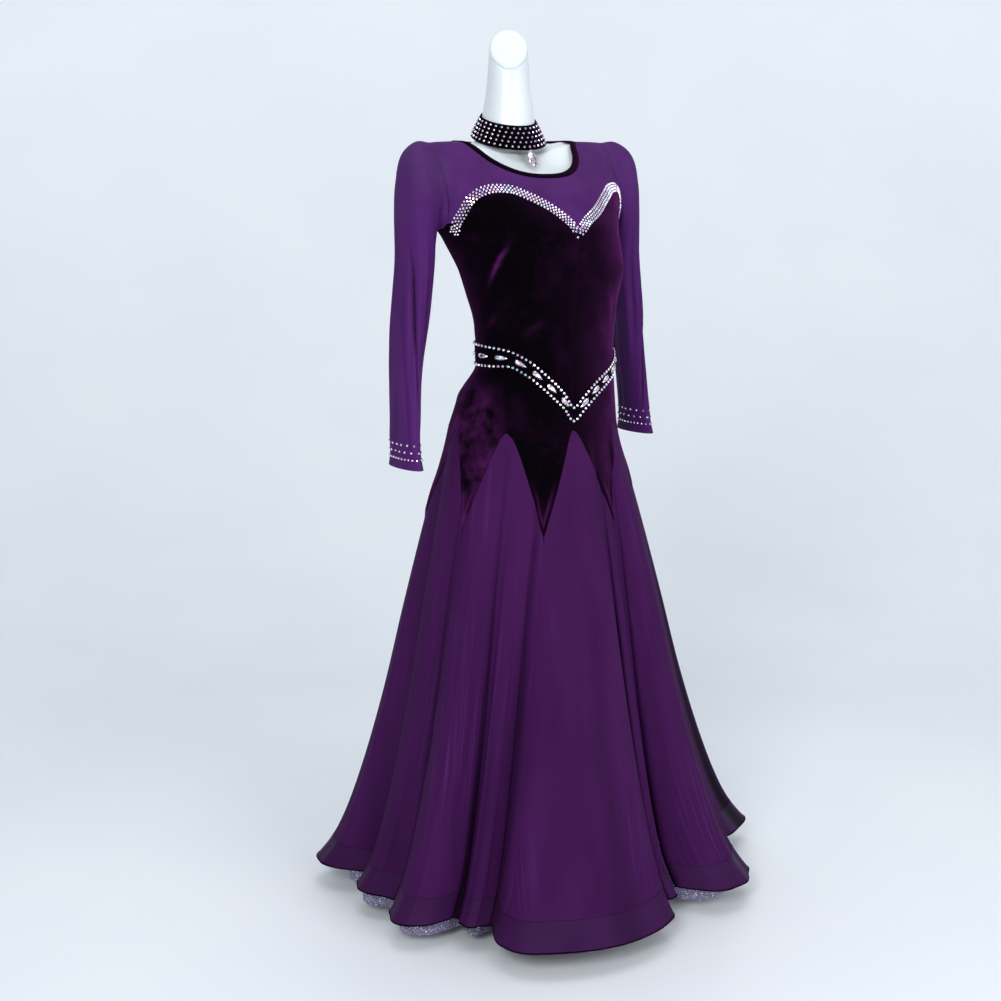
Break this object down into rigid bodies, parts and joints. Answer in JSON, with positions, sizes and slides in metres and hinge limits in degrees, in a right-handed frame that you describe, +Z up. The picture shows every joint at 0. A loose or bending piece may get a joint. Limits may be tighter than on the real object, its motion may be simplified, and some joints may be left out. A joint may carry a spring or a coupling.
{
  "type": "ballroom dance dress on a dress form",
  "caption": "Long-sleeved ballroom dance dress of velvet, mesh and flared chiffon with crystal trim, standing on a limbless dress form.",
  "frame": {"origin": "centre of the stand's round base, on the floor", "axes": "+Z up, the dress faces -Y, and the wearer's left is +X"},
  "size_m": [0.8193, 0.7455, 1.5457],
  "materials": {
    "velvet": "stretch velvet, satin nap",
    "mesh": "fine stretch mesh, matte",
    "chiffon": "chiffon, matte",
    "hem_band": "chiffon over stiff horsehair braid",
    "petticoat": "sheer glitter tulle",
    "trim": "velvet, set with crystal stones",
    "crystal": "clear, rainbow coated",
    "form": "smooth satin shell",
    "steel": "brushed"
  },
  "bodies": {
    "root": {"velvet_front_left": "velvet", "velvet_side_front_left": "velvet", "velvet_side_back_left": "velvet", "velvet_back_left": "velvet", "velvet_back_right": "velvet", "velvet_side_back_right": "velvet", "velvet_side_front_right": "velvet", "velvet_front_right": "velvet", "skirt_gore_1": "chiffon", "skirt_gore_2": "chiffon", "skirt_gore_3": "chiffon", "skirt_gore_4": "chiffon", "skirt_gore_5": "chiffon", "skirt_gore_6": "chiffon", "skirt_gore_7": "chiffon", "skirt_gore_8": "chiffon", "hem_band": "hem_band", "petticoat": "petticoat", "yoke_front": "mesh", "yoke_back": "mesh", "neckline_binding": "trim", "belt": "trim", "sleeve_left": "mesh", "sleeve_right": "mesh", "form_body": "form", "form_neck_cap": "form", "stand_base": "steel", "stand_pole": "steel", "choker": "trim", "pendant": "crystal"}
  },
  "joints": []
}
